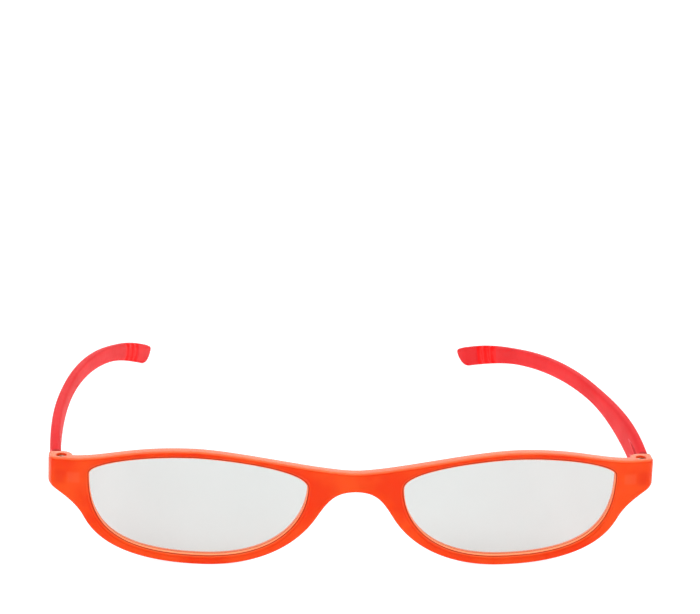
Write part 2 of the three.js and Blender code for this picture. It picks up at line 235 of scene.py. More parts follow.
def arc_length(points):
    """Distance along a polyline at each of its points."""
    return np.concatenate([[0], np.cumsum(np.linalg.norm(np.diff(points, axis=0), axis=1))])


def along(points, distances):
    """Points of a polyline at given distances along it, each coordinate read off in proportion."""
    run = arc_length(points)
    return np.stack([np.interp(distances, run, points[:, k]) for k in range(points.shape[1])], -1)


def tangents(points, closed):
    """Unit directions of a polyline from the neighbours on both sides of each point."""
    if closed:
        step = np.roll(points, -1, 0) - np.roll(points, 1, 0)
    else:
        step = np.gradient(points, axis=0)
    return step / np.linalg.norm(step, axis=1, keepdims=True)


def opening_curve():
    """Four quarter curves through the opening's extreme points, clockwise from its nose side."""
    nose = np.array([nose_x, RIM_BOTTOM + NOSE_SIDE])
    crown = np.array([nose_x + CROWN_IN, opening_top])
    ear = np.array([ear_x, RIM_BOTTOM + EAR_SIDE])
    belly = np.array([nose_x + BELLY_IN, RIM_BOTTOM])

    def quarter(a, b, first, last, rises):
        d = b - a
        if rises:
            return [a, a + [0, first * d[1]], b - [last * d[0], 0], b]
        return [a, a + [first * d[0], 0], b - [0, last * d[1]], b]

    corners = [nose, crown, ear, belly, nose]
    rises = [True, False, True, False]
    quarters = zip(corners, corners[1:], OPENING_PULLS, rises)
    return np.concatenate([bezier(quarter(a, b, *pulls, upright)) for a, b, pulls, upright in quarters])


def outline_curve():
    """Half of the front's outline as one chain of cubic curves, from the bridge's top to its arch."""

    def point(x, z):
        return np.array([x, z], float)

    def lean(p, angle, length):
        return p + length * point(math.sin(math.radians(angle)), math.cos(math.radians(angle)))

    bridge = point(0, bridge_top)
    crown = point(nose_x + CROWN_IN, crown_z)
    end_start = point(side_x - END_FLAT, end_top)
    end_out = point(side_x - END_TOP_RADIUS, end_top)
    side_start = point(side_x, end_top - END_TOP_RADIUS)
    side_end = point(side_x, end_top - END_SIDE)
    ear_flank = point(ear_x + RIM_EAR, FLANK_EAR)
    belly = point(nose_x + BELLY_IN, 0)
    nose_flank = point(nose_x - RIM_NOSE, FLANK_NOSE)
    arch = point(0, arch_top)
    half_corner = END_TOP_RADIUS * 0.45
    chain = [
        [bridge, bridge + [BRIDGE_PULL, 0], crown - [CROWN_PULLS[0], 0], crown],
        [crown, crown + [CROWN_PULLS[1], 0], end_start - [END_TOP_PULL, 0], end_start],
        [end_start, end_start + [1, 0], end_out - [1, 0], end_out],
        [end_out, end_out + [half_corner, 0], side_start + [0, half_corner], side_start],
        [side_start, side_start - [0, 1], side_end + [0, 1], side_end],
        [side_end, side_end - [0, SIDE_PULL], lean(ear_flank, EAR_LEAN, EAR_PULLS[0]), ear_flank],
        [ear_flank, lean(ear_flank, EAR_LEAN, -EAR_PULLS[1]), belly + [BELLY_PULLS[0], 0], belly],
        [belly, belly - [BELLY_PULLS[1], 0], lean(nose_flank, -NOSE_LEAN, -NOSE_PULLS[0]), nose_flank],
        [nose_flank, lean(nose_flank, -NOSE_LEAN, NOSE_PULLS[1]), arch + [ARCH_PULL, 0], arch],
    ]
    return np.concatenate([bezier(c) for c in chain] + [arch[None]])


# ---------------------------------------------------------------- meshes


def placed(points):
    """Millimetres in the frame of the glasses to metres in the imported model's frame."""
    return np.asarray(points, float).reshape(-1, 3) * MM + [0, FACE_Y, 0]


def grid_faces(rows, columns, wrap_rows=False, wrap_columns=False):
    """Quads between the neighbouring points of a grid that is stored row by row."""
    r = np.arange(rows if wrap_rows else rows - 1)[:, None]
    c = np.arange(columns if wrap_columns else columns - 1)[None, :]
    up, right = (r + 1) % rows, (c + 1) % columns
    corners = [r * columns + c, up * columns + c, up * columns + right, r * columns + right]
    return np.stack(np.broadcast_arrays(*corners), -1).reshape(-1, 4)


def mesh_object(name, points, faces, weld=0.002):
    """A closed mesh from points in millimetres: doubles merged, outward normals."""
    mesh = bpy.data.meshes.new(name)
    faces = faces if isinstance(faces, list) else faces.tolist()
    mesh.from_pydata(placed(points).tolist(), [], faces)
    build = bmesh.new()
    build.from_mesh(mesh)
    bmesh.ops.remove_doubles(build, verts=build.verts, dist=weld * MM)
    bmesh.ops.dissolve_degenerate(build, dist=weld * MM * 0.5, edges=build.edges)
    bmesh.ops.recalc_face_normals(build, faces=build.faces)
    build.to_mesh(mesh)
    build.free()
    piece = bpy.data.objects.new(name, mesh)
    bpy.context.scene.collection.objects.link(piece)
    return piece


def carve(piece, tools):
    """Joins or cuts a piece with closed tools, then leaves the result in its mesh and removes the tools."""
    for tool, action in tools:
        change = piece.modifiers.new("carve", "BOOLEAN")
        change.object = tool
        change.operation = action
        change.solver = "EXACT"
    bpy.context.view_layer.update()
    carved = bpy.data.meshes.new_from_object(piece.evaluated_get(bpy.context.evaluated_depsgraph_get()))
    piece.modifiers.clear()
    piece.data = carved
    for tool, _ in tools:
        bpy.data.objects.remove(tool)
    return piece


def finish_shading(piece, degrees=32):
    """Smooth shading that stays crisp where two faces meet at more than the given angle."""
    piece.data.shade_smooth()
    piece.data.set_sharp_from_angle(angle=math.radians(degrees))
    return piece


def mirrored(piece, name):
    """The same piece on the other side of the middle, with its faces turned back outwards."""
    mesh = piece.data.copy()
    mesh.transform(Matrix.Scale(-1, 4, (1, 0, 0)))
    mesh.flip_normals()
    twin = bpy.data.objects.new(name, mesh)
    bpy.context.scene.collection.objects.link(twin)
    return twin


def prism(name, plan, low, high):
    """A flat outline in x and y carried straight up from one height to another."""
    count = len(plan)
    heights = np.repeat([low, high], count)
    points = np.column_stack([np.tile(plan, (2, 1)), heights])
    return mesh_object(name, points, capped(2, count), weld=0.0005)


def turned(name, profile, centre, count=64):
    """A profile of radius and height turned about an upright axis."""
    angle = np.linspace(0, 2 * np.pi, count, endpoint=False)
    radius, height = np.array(profile, float).T
    x = centre[0] + radius[:, None] * np.cos(angle)
    y = centre[1] + radius[:, None] * np.sin(angle)
    points = np.stack([x, y, np.broadcast_to(height[:, None], x.shape)], -1)
    faces = grid_faces(len(profile), count, wrap_columns=True)
    return mesh_object(name, points.reshape(-1, 3), faces, weld=0.0005)


def capped(rows, count):
    """The faces of a tube of closed rings, with one flat face at each end."""
    faces = grid_faces(rows, count, wrap_columns=True).tolist()
    return faces + [list(range(count)), list(range((rows - 1) * count, rows * count))]


def arc(centre, radius, start, stop, count=24):
    """Points on an arc, angles in degrees."""
    angle = np.radians(np.linspace(start, stop, count))
    return np.column_stack([centre[0] + radius * np.cos(angle), centre[1] + radius * np.sin(angle)])


# ---------------------------------------------------------------- front


def face_depth(x):
    """Depth of the front's face: the bow, then a quarter turn of the corner radius into the flat side."""
    centre = side_x - END_CORNER
    lean = math.atan(side_x / FRONT_CURVE)
    back = bow(centre) + END_CORNER / math.cos(lean)
    reach = np.clip(x - centre, 0, END_CORNER)
    corner = back - np.sqrt(np.maximum(END_CORNER**2 - reach**2, 0))
    return np.where(x > centre + END_CORNER * math.sin(lean), np.maximum(corner, bow(x)), bow(x))


def pad_rise(x, z):
    """Swelling of the nose pads on the back: one less the squared distance from the pad's middle,
    measured in pad half-lengths along the nose flank and in half-widths across it."""
    middle_x = nose_x - RIM_NOSE + PAD_INSET + PAD_WIDTH / 2
    lean = math.radians(NOSE_LEAN)
    dx, dz = x - middle_x, z - FLANK_NOSE
    up = (-dx * math.sin(lean) + dz * math.cos(lean)) / (PAD_LENGTH / 2)
    across = dx * math.cos(lean) + dz * math.sin(lean)
    across = across / np.where(across > 0, PAD_WIDTH / 2, PAD_WIDTH * PAD_NOSE_REACH)
    return PAD_RISE * np.maximum(1 - up**2 - across**2, 0)


def lens_front(x, z):
    """Front surface of a lens: a plane square to the face at the opening's middle, plus a shallow bowl."""
    middle_x, middle_z = (nose_x + ear_x) / 2, RIM_BOTTOM + OPENING_HEIGHT / 2
    dx, dz = x - middle_x, z - middle_z
    return bow(middle_x) + middle_x / FRONT_CURVE * dx + (dx**2 + dz**2) / (2 * FRONT_CURVE) + LENS_INSET


def lens_back(x):
    """Back surface of a lens: flat and square to the face at the opening's middle."""
    middle_x = (nose_x + ear_x) / 2
    return bow(middle_x) + middle_x / FRONT_CURVE * (x - middle_x) + LENS_INSET + LENS_THICKNESS


def matching_opening(outer, opening):
    """For each point round the outer loop, the nearest place on the opening, evened out along the loop so that
    the lines between the two never cross."""
    gap = np.linalg.norm(outer[:, None] - opening[None], axis=2)
    closed = np.concatenate([opening, opening[:1]])
    run = arc_length(closed)
    total = run[-1]
    place = np.unwrap(run[gap.argmin(1)], period=total)
    spread = np.linalg.norm(np.roll(outer, -1, 0) - outer, axis=1)
    where = np.cumsum(spread) - spread
    length = spread.sum()
    ahead = where[:, None] - where[None]
    ahead = (ahead + length / 2) % length - length / 2
    turns = np.round((place[-1] - place[0]) / total)
    drift = place - turns * total * where / length
    weight = np.exp(-0.5 * (ahead / EVENING_REACH) ** 2) * spread[None]
    even = (weight * drift[None]).sum(1) / weight.sum(1) + turns * total * where / length
    return along(closed, even % total)


def front_half():
    """The left half of the front, as one closed section carried round the opening. From the lens outwards the
    section is a lip, a thin line, a band that climbs to the face, the face, a quarter round, the outer wall, a
    quarter round, the back with the pad's swelling, the back lip and the lens groove. Beside the middle of the
    bridge the section is left open, for the other half."""
    curve = outline_curve()
    outline = along(curve, np.linspace(0, arc_length(curve)[-1], OUTLINE_POINTS))
    outline[0, 0] = outline[-1, 0] = 0
    opening = opening_curve()
    tangent = tangents(outline, False)
    tangent[0] = (1, 0)
    tangent[-1] = (-1, 0)
    inward = np.stack([tangent[:, 1], -tangent[:, 0]], -1)
    middle = np.linspace(arch_top + FACE_ROUND, bridge_top - FACE_ROUND, MIDDLE_POINTS + 2)[1:-1]
    middle = np.column_stack([np.zeros(MIDDLE_POINTS), middle])
    face_edge = np.concatenate([outline + FACE_ROUND * inward, middle])
    match = matching_opening(face_edge, opening)
    facing = tangents(match, True)
    outward = np.stack([-facing[:, 1], facing[:, 0]], -1)
    wraps = len(face_edge)
    rims = len(outline)

    def grown(distance):
        return match + distance * outward

    rows = []

    def add(flat, depth):
        rows.append(np.column_stack([flat[:, 0], depth, flat[:, 1]]))

    def inside(flat, offset):
        add(flat, face_depth(flat[:, 0]) + offset)

    for distance, depth in RING:
        inside(grown(distance), depth)
    edge = grown(RING_WIDTH)
    for share in np.linspace(0, 1, FACE_ROWS):
        flat = edge + (face_edge - edge) * share
        inside(flat, FACE_DIP * (2 * share - 1) ** 4 * (1 - share))
    face_rows = len(rows)

    def rounded(distance, depth):
        flat = outline + distance * inward
        row = np.column_stack([flat[:, 0], depth(flat), flat[:, 1]])
        rows.append(np.concatenate([row, np.full((wraps - rims, 3), np.nan)]))

    for turn in np.radians(np.linspace(0, 90, 10))[1:]:
        drop = FACE_ROUND * (1 - math.cos(turn))
        rounded(FACE_ROUND * (1 - math.sin(turn)), lambda flat: face_depth(flat[:, 0]) + drop)

    def back_depth(flat):
        x, z = flat[:, 0], flat[:, 1]
        return np.maximum(bow(x) + FRONT_DEPTH, face_depth(x) + LEAST_DEPTH) + pad_rise(x, z)

    for turn in np.radians(np.linspace(90, 0, 7)):
        rise = BACK_ROUND * (1 - math.cos(turn))
        rounded(BACK_ROUND * (1 - math.sin(turn)), lambda flat: back_depth(flat) - rise)
    wall_rows = len(rows)
    back_edge = np.concatenate([outline + BACK_ROUND * inward, middle])
    lip = grown(BACK_RING_START)
    for share in np.linspace(0, 1, BACK_ROWS):
        flat = back_edge + (lip - back_edge) * share
        add(flat, back_depth(flat))
    for distance, depth in BACK_RING:
        flat = grown(distance)
        add(flat, back_depth(flat) - depth)
    reach = LENS_OVERLAP + GROOVE_GAP
    for distance, front_side in [(0, False), (reach, False), (reach, True), (0, True)]:
        flat = grown(distance)
        if front_side:
            add(flat, lens_front(flat[:, 0], flat[:, 1]) - GROOVE_GAP)
        else:
            add(flat, lens_back(flat[:, 0]) + GROOVE_GAP)
    points = np.array(rows)
    faces = grid_faces(len(rows), wraps, wrap_rows=True, wrap_columns=True)
    faces = faces[~np.isnan(points.reshape(-1, 3)[faces]).any((1, 2))]
    # the wall beside the middle of the bridge stays open
    row, column = faces[:, 0] // wraps, faces[:, 0] % wraps
    open_wall = (row >= face_rows - 1) & (row < wall_rows) & (column >= rims - 1)
    faces = faces[~open_wall]
    flat = points.reshape(-1, 3)
    used, faces = np.unique(faces, return_inverse=True)
    return flat[used], faces.reshape(-1, 4)


def front_shell():
    """Both halves of the front, welded along the middle of the bridge."""
    points, faces = front_half()
    points[np.abs(points[:, 0]) < 1e-4, 0] = 0
    both = np.concatenate([points, points * [-1, 1, 1]])
    return mesh_object("front", both, np.concatenate([faces, faces[:, ::-1] + len(points)]))


def end_return():
    """The left end piece's return: its plan of two straight sides and a round ear, carried up with its edges
    rounded, and held inside the round outer corners that the front view shows."""
    inner = hinge_x - EAR_RADIUS
    front_y = bow(hinge_x) + RETURN_START
    rear_y = hinge_y + EAR_RADIUS
    face = outline_curve()
    corner = face[face[:, 0] > ear_x + 2]
    corner = corner[(corner[:, 1] < end_top - 1) & (corner[:, 1] > end_bottom - 1)][::-1]
    plan = np.concatenate([
        [[inner, front_y], [side_x - 2.2, front_y]],
        arc((side_x - RETURN_CORNER, front_y + RETURN_CORNER), RETURN_CORNER, -80, 0, 10),
        np.column_stack([np.full(10, side_x), np.linspace(front_y + 1.7, rear_y, 10)]),
        np.column_stack([np.linspace(side_x - 0.3, hinge_x, 10), np.full(10, rear_y)]),
        arc((hinge_x, hinge_y), EAR_RADIUS, 95, 180, 20),
    ])
    out = tangents(plan, True)
    out = np.stack([out[:, 1], -out[:, 0]], -1)
    turn = np.radians(np.linspace(0, 90, 5))
    rounding = [(RETURN_EDGE * (1 - math.sin(t)), RETURN_EDGE * (1 - math.cos(t))) for t in turn]
    levels = [(end_bottom + up, inset) for up, inset in rounding[::-1]]
    levels += [(z, 0) for z in np.linspace(end_bottom + RETURN_EDGE, end_top - RETURN_EDGE, 40)[1:-1]]
    levels += [(end_top - down, inset) for down, inset in rounding]
    rows = []
    for z, inset in levels:
        flat = plan - inset * out
        above = max(z - end_top + END_TOP_RADIUS, 0)
        top_cut = END_TOP_RADIUS - math.sqrt(max(END_TOP_RADIUS**2 - above**2, 0))
        low_cut = side_x - np.interp(z, corner[:, 1], corner[:, 0])
        x = np.minimum(flat[:, 0], side_x - 0.03 - max(top_cut, low_cut, inset))
        rows.append(np.column_stack([x, flat[:, 1], np.full(len(flat), z)]))
    return mesh_object("return", np.concatenate(rows), capped(len(rows), len(plan)), weld=0.0005)


def hinge_slot():
    """The slot between the ears, open behind and on the inside, as a prism over its plan."""
    radius = TANG_RADIUS + SLOT_GAP
    back = split_y + 1
    plan = np.concatenate([
        arc((hinge_x, hinge_y), radius, -90, 0),
        [[hinge_x + radius, back], [hinge_x - POCKET_REACH, back], [hinge_x - POCKET_REACH, hinge_y - radius]],
    ])
    half = TANG_HEIGHT / 2 + SLOT_GAP
    return prism("slot", plan, end_middle - half, end_middle + half)


def screw_bore():
    """The bore and the seat that the hinge screw stands in, turned about the hinge axis."""
    seat = end_top - HEAD_SUNK - HEAD_HEIGHT - SHANK_GAP
    tip = end_bottom + SCREW_TIP - SHANK_GAP
    bore, wide = SHANK_RADIUS + SHANK_GAP, HEAD_RADIUS + SHANK_GAP
    flared = wide + 0.15
    profile = [(0, tip), (bore, tip), (bore, seat), (wide, seat), (wide, end_top - 0.1)]
    profile += [(flared, end_top + 0.05), (flared, end_top + 1), (0, end_top + 1)]
    return turned("bore", profile, (hinge_x, hinge_y))


def paint(piece, **values):
    """Stores one number per vertex under each given name, for the materials to read."""
    for name, numbers in values.items():
        layer = piece.data.attributes.new(name, "FLOAT", "POINT")
        layer.data.foreach_set("value", np.asarray(numbers, np.float32))
    return piece


def vertices(piece):
    """The vertices of a piece in millimetres, in the frame of the glasses."""
    flat = np.empty(len(piece.data.vertices) * 3, np.float32)
    piece.data.vertices.foreach_get("co", flat)
    return (flat.reshape(-1, 3) - [0, FACE_Y, 0]) / MM


def nearest(places, targets):
    """For each place, the index of the nearest target and the distance to it: the least of the squared lengths,
    each written as both squares less twice the product, in blocks that fit in memory."""
    squares = (targets**2).sum(1)
    indices, distances = [], []
    for block in np.array_split(places, len(places) // 4000 + 1):
        squared = squares - 2 * block @ targets.T + (block**2).sum(1)[:, None]
        indices.append(squared.argmin(1))
        distances.append(np.sqrt(np.maximum(squared.min(1), 0)))
    return np.concatenate(indices), np.concatenate(distances)


def ring_distance(piece):
    """Distance from the edge of the nearer opening on the face, 0 inside the lens groove so that the groove takes
    the lip's painted light, 9 on the back.
    """
    places = vertices(piece)
    places[:, 0] = np.abs(places[:, 0])
    closed = opening_curve()
    closed = np.concatenate([closed, closed[:1]])
    rim = along(closed, np.linspace(0, arc_length(closed)[-1], 2400))
    distance = nearest(places[:, [0, 2]], rim)[1]
    depth = places[:, 1] - face_depth(places[:, 0])
    groove = (depth < FRONT_DEPTH - BACK_LIP + 0.02) & (distance < LENS_OVERLAP + GROOVE_GAP + 0.1)
    return np.where(depth < 0.5, distance, np.where(groove, 0, 9))


def front_frame():
    """The front with both end returns joined on, then the hinge slots and screw bores cut. Its vertices hold the
    distance from the opening, how far they face up, and how far they face out at the sides, from which the
    material paints highlights and shade."""
    shell = front_shell()
    left = [(end_return(), "UNION"), (hinge_slot(), "DIFFERENCE"), (screw_bore(), "DIFFERENCE")]
    right = [(mirrored(tool, tool.name + "_twin"), action) for tool, action in left]
    carve(shell, sorted(left + right, key=lambda pair: pair[1] != "UNION"))
    facing = np.empty(len(shell.data.vertices) * 3, np.float32)
    shell.data.vertex_normals.foreach_get("vector", facing)
    facing = facing.reshape(-1, 3)
    outer = np.abs(facing[:, 0]) * (np.abs(vertices(shell)[:, 0]) > side_x - END_CORNER)
    paint(shell, ring=ring_distance(shell), top=facing[:, 2], outer=outer)
    return finish_shading(shell, 38)


# ---------------------------------------------------------------- lenses


def lens(name, side):
    """A lens: rings shrunk from its edged outline to its middle, a bowl in front and a flat back, joined by an
    edge with a shallow bevel on both faces."""
    opening = opening_curve()
    facing = tangents(opening, True)
    outline = opening + LENS_OVERLAP * np.stack([-facing[:, 1], facing[:, 0]], -1)
    middle = outline.mean(0)
    rows = []
    shares = np.concatenate([np.linspace(0.002, 0.98, 22), [0.99, 0.996]])
    for share in shares:
        flat = middle + (outline - middle) * share
        rows.append(np.column_stack([flat[:, 0], lens_front(flat[:, 0], flat[:, 1]), flat[:, 1]]))
    for drop in (0.25, 0.5, 0.75):
        front, back = lens_front(outline[:, 0], outline[:, 1]), lens_back(outline[:, 0])
        rows.append(np.column_stack([outline[:, 0], front + (back - front) * drop, outline[:, 1]]))
    for share in shares[::-1]:
        flat = middle + (outline - middle) * share
        rows.append(np.column_stack([flat[:, 0], lens_back(flat[:, 0]), flat[:, 1]]))
    points = np.concatenate(rows) * [side, 1, 1]
    return finish_shading(mesh_object(name, points, capped(len(rows), len(outline)), weld=0.0002), 40)


# ---------------------------------------------------------------- temples


def temple_sizes(distance):
    """Half thickness and half height along a temple: it slims behind the hinge and widens to a paddle."""
    slim = smooth(distance, SHOULDER_LENGTH, WAIST_START)
    wide = smooth(distance, WAIST_END, TEMPLE_LENGTH - PADDLE_LENGTH)
    height = TEMPLE_HEIGHT + (WAIST_HEIGHT - TEMPLE_HEIGHT) * slim + (TIP_HEIGHT - WAIST_HEIGHT) * wide
    thickness = TEMPLE_THICKNESS + (TIP_THICKNESS - TEMPLE_THICKNESS) * distance / TEMPLE_LENGTH
    return thickness / 2, height / 2


def temple_path(distance):
    """Places and unit directions along the left temple: headings inwards and downwards are parabolas of the
    share of the length, and places are their running sum."""
    fine = np.linspace(0, TEMPLE_LENGTH, 1201)

    def heading(run):
        share = run / TEMPLE_LENGTH
        yaw, drop = np.radians(through(*YAW, share)), np.radians(through(*DROP, share))
        return np.stack([-np.sin(yaw) * np.cos(drop), np.cos(yaw) * np.cos(drop), -np.sin(drop)], -1)

    steps = heading((fine[1:] + fine[:-1]) / 2) * np.diff(fine)[:, None]
    start = np.array([side_x - TEMPLE_INSET - TEMPLE_THICKNESS / 2, split_y, end_middle])
    places = start + np.concatenate([np.zeros((1, 3)), np.cumsum(steps, 0)])
    return np.stack([np.interp(distance, fine, places[:, k]) for k in range(3)], -1), heading(distance)


def level_across(heading):
    """Level directions square to the headings: their y, less their x, and no height."""
    return np.stack([heading[:, 1], -heading[:, 0], np.zeros(len(heading))], -1)


def section_shape(count):
    """A rounded oblong, one wide and one high: the cosine and sine of an angle raised to the section's power,
    spaced evenly for a section that is higher than it is thick."""
    angle = np.linspace(0, 2 * np.pi, 2001)
    c, s = np.cos(angle), np.sin(angle)
    wide, high = (np.sign(v) * np.abs(v) ** SECTION_POWER for v in (c, s))
    ring = np.column_stack([wide, SECTION_RATIO * high])
    even = along(ring, np.linspace(0, arc_length(ring)[-1], count, endpoint=False))
    return even[:, 0], even[:, 1] / SECTION_RATIO


def channel_depth(distance, height):
    """Depth of the two pointed channels: for each, the circle of its spindle, whose radius falls to nothing along
    its length, where it passes below the inner face."""
    depth = 0
    for radius, level in CHANNELS:
        here = radius * (1 - np.clip(distance / CHANNEL_LENGTH, 0, 1) ** 2)
        inside = here**2 - (height - level) ** 2
        depth = depth + np.maximum(np.sqrt(np.maximum(inside, 0)) - (radius - CHANNEL_DEPTH), 0)
    return depth


def grip_depth(distance, height):
    """Depth of the grip grooves: cosine dips across the face, bent forwards in the middle of its height."""
    bent = distance - GRIP_BEND * (1 - height**2)
    depth = np.zeros_like(bent)
    for number in range(GRIP_COUNT):
        offset = (bent - (TEMPLE_LENGTH - GRIP_FROM_TIP - GRIP_PITCH * number)) / GRIP_HALF
        dip = np.cos(np.clip(offset, -1, 1) * np.pi / 2) ** GRIP_POWER
        depth = np.maximum(depth, GRIP_DEPTH * dip)
    return depth


def temple_tang():
    """The tang: a plan of a round eye and a straight neck, with the screw's bore through the eye."""
    neck_x = hinge_x + NECK_INSIDE
    plan = np.concatenate([
        arc((hinge_x, hinge_y), TANG_RADIUS, 180, 360, 40),
        [[hinge_x + TANG_RADIUS, split_y + 1], [neck_x, split_y + 1], [neck_x, split_y - SPLIT_GAP]],
    ])
    half = TANG_HEIGHT / 2
    eye = prism("tang", plan, end_middle - half, end_middle + half)
    bore = SHANK_RADIUS + SHANK_GAP
    profile = [(0, end_middle - 3), (bore, end_middle - 3), (bore, end_middle + 3), (0, end_middle + 3)]
    return carve(eye, [(turned("tang_bore", profile, (hinge_x, hinge_y)), "DIFFERENCE")])


def temple_left():
    """The temple: its rounded section carried along the path, with channels behind the hinge and grip grooves
    near the tip pressed into the inner face, and a tip whose sections shrink as a rounded end."""
    body = TEMPLE_LENGTH - TIP_CAP
    distance = np.concatenate([
        np.linspace(0, HINGE_STRETCH, 72, endpoint=False),
        np.linspace(HINGE_STRETCH, body - GRIP_STRETCH, 90, endpoint=False),
        np.linspace(body - GRIP_STRETCH, body, 76),
    ])
    turn = np.radians(np.linspace(0, 86, 16))[1:]
    shrink = np.concatenate([np.ones(len(distance)), np.cos(turn) ** 0.7])
    distance = np.concatenate([distance, body + TIP_CAP * np.sin(turn)])
    on_line = np.minimum(distance, TEMPLE_LENGTH)
    places, heading = temple_path(on_line)
    tip_place, tip_heading = temple_path(np.array([TEMPLE_LENGTH]))
    rounded = distance > body
    places[rounded] = tip_place + tip_heading * (distance[rounded, None] - TEMPLE_LENGTH)
    heading[rounded] = tip_heading
    across = level_across(heading)
    across /= np.linalg.norm(across, axis=1, keepdims=True)
    upright = np.cross(across, heading)
    thick, high = temple_sizes(on_line)
    last = np.clip((distance - body) / TIP_CAP, 0, 1)
    places = places + upright * (TIP_LIFT * (1 - shrink) * (1 - 0.4 * last**10))[:, None]
    c, s = section_shape(SECTION_POINTS)
    out = (thick * shrink)[:, None] * c
    up = (high * shrink)[:, None] * s
    level = np.broadcast_to(distance[:, None], up.shape)
    inner = smooth(-c, 0.35, 0.8)
    grips = grip_depth(level, np.broadcast_to(s, up.shape)) * inner
    out = out + np.maximum(channel_depth(level, up) * (c < -0.3), grips)
    points = places[:, None] + out[..., None] * across[:, None] + up[..., None] * upright[:, None]
    slant = last[:, None] * TIP_SLANT * (up - (high * shrink)[:, None])
    points = points + slant[..., None] * heading[:, None]
    near = np.clip(1 - distance / SPLIT_BLEND, 0, 1)[:, None]
    level_up = (split_y - points[0, :, 1])[None] * near
    points = points + level_up[..., None] * (heading / heading[:, 1:2])[:, None]
    blade = mesh_object("temple_blade", points.reshape(-1, 3), capped(*out.shape), weld=0.0005)
    carve(blade, [(temple_tang(), "UNION")])
    fine = np.linspace(0, TEMPLE_LENGTH, 1452)
    line, headings = temple_path(fine)
    found = vertices(blade)
    index, _ = nearest(found, line)
    ups = np.cross(level_across(headings), headings)
    run, offset = fine[index], found - line[index]
    up = (offset * ups[index]).sum(1)
    channel = channel_depth(run, up) * (offset[:, 0] < 0)
    paint(blade, along=run, edge=np.abs(up) / temple_sizes(run)[1], channel=channel)
    return finish_shading(blade, 42)


# ---------------------------------------------------------------- screws


def hinge_screw():
    """A sunk pan head on a plain shank, turned about the hinge axis, with a driver slot."""
    top = end_top - HEAD_SUNK
    seat = top - HEAD_HEIGHT
    round_off = np.radians(np.linspace(0, 90, 8))
    head = [
        (HEAD_RADIUS - HEAD_ROUND * (1 - math.cos(t)), top - HEAD_ROUND + HEAD_ROUND * math.sin(t))
        for t in round_off
    ]
    profile = [(0, end_bottom + SCREW_TIP), (SHANK_RADIUS, end_bottom + SCREW_TIP), (SHANK_RADIUS, seat)]
    profile += [(HEAD_RADIUS, seat)] + head + [(0, top)]
    screw = turned("hinge_screw", profile, (hinge_x, hinge_y))
    along_slot = np.array([math.cos(DRIVER_ANGLE), math.sin(DRIVER_ANGLE)])
    across_slot = np.array([-along_slot[1], along_slot[0]]) * DRIVER_HALF_WIDTH
    centre = np.array([hinge_x, hinge_y])
    corners = [(-2, -1), (2, -1), (2, 1), (-2, 1)]
    plan = np.array([centre + a * along_slot + b * across_slot for a, b in corners])
    carve(screw, [(prism("driver_slot", plan, top - DRIVER_DEPTH, top + 1), "DIFFERENCE")])
    return finish_shading(screw, 30)


# ---------------------------------------------------------------- materials

# painted light: the pale peach of the lip round each opening and of the lens groove, also the colour of the
# groove's painted glow
PAINTED_LIP_LIGHT = (1.0, 0.3, 0.15)


def node(tree, kind, **values):
    """A new node, with each value set on the socket of that name or else as a property."""
    made = tree.nodes.new(kind)
    for key, value in values.items():
        if key in made.inputs:
            made.inputs[key].default_value = value
        else:
            setattr(made, key, value)
    return made


def feed(tree, value, socket):
    """Links a socket to another one, or sets it to a plain value."""
    if hasattr(value, "is_linked"):
        tree.links.new(value, socket)
    else:
        socket.default_value = value


def settle(shader, values):
    """Plain values on a shader's own sockets."""
    for name, value in values.items():
        shader.inputs[name].default_value = value


def mix_input(mixer, letter):
    """The colour socket A or B of a mix node, which also has float and vector sockets of those names."""
    return [s for s in mixer.inputs if s.name == letter and s.type == "RGBA"][0]


def color_mix(tree, factor, a, b):
    """A colour mix whose factor, first and second colours are sockets or plain values."""
    made = node(tree, "ShaderNodeMix", data_type="RGBA")
    for socket, value in [(made.inputs[0], factor), (mix_input(made, "A"), a), (mix_input(made, "B"), b)]:
        feed(tree, value, socket)
    return [s for s in made.outputs if s.type == "RGBA"][0]


def math_node(tree, operation, *values, clamp=False):
    """One sum on sockets or plain values."""
    made = node(tree, "ShaderNodeMath", operation=operation, use_clamp=clamp)
    for socket, value in zip(made.inputs, values):
        feed(tree, value, socket)
    return made.outputs[0]


def tint(tree, tone, mask, weight, color):
    """A tone moved towards a colour by a mask times a weight."""
    return color_mix(tree, math_node(tree, "MULTIPLY", mask, weight), tone, (*color, 1))


def ramp(tree, value, low, high):
    """Zero below low and one above high, smooth between them."""
    made = node(tree, "ShaderNodeMapRange", interpolation_type="SMOOTHSTEP")
    settle(made, {"From Min": low, "From Max": high})
    tree.links.new(value, made.inputs["Value"])
    return made.outputs["Result"]


def opposite(tree, mask):
    """One less a mask."""
    return math_node(tree, "SUBTRACT", 1.0, mask, clamp=True)


def band(tree, value, low, high, soft):
    """One between two limits and zero outside them, with soft borders."""
    rise = ramp(tree, value, low - soft, low + soft)
    fall = ramp(tree, value, high - soft, high + soft)
    return math_node(tree, "SUBTRACT", rise, fall, clamp=True)


def spread(tree, value, low, high):
    """A value from 0 to 1 stretched evenly from low to high."""
    made = tree.nodes.new("ShaderNodeMapRange")
    settle(made, {"To Min": low, "To Max": high})
    tree.links.new(value, made.inputs["Value"])
    return made.outputs["Result"]


def noise(tree, scale, detail=2.0):
    """Soft noise over the piece, from 0 to 1, at so many cells to the metre."""
    where = tree.nodes.new("ShaderNodeTexCoord")
    made = node(tree, "ShaderNodeTexNoise", Detail=detail, Roughness=0.5)
    tree.links.new(where.outputs["Object"], made.inputs["Vector"])
    feed(tree, scale, made.inputs["Scale"])
    return made.outputs["Fac"]


def attribute(tree, name):
    """A number stored on the vertices."""
    return node(tree, "ShaderNodeAttribute", attribute_name=name).outputs["Fac"]


def new_material(name):
    """A material with its node tree and its Principled shader."""
    material = bpy.data.materials.new(name)
    material.use_nodes = True
    tree = material.node_tree
    return material, tree, tree.nodes["Principled BSDF"]


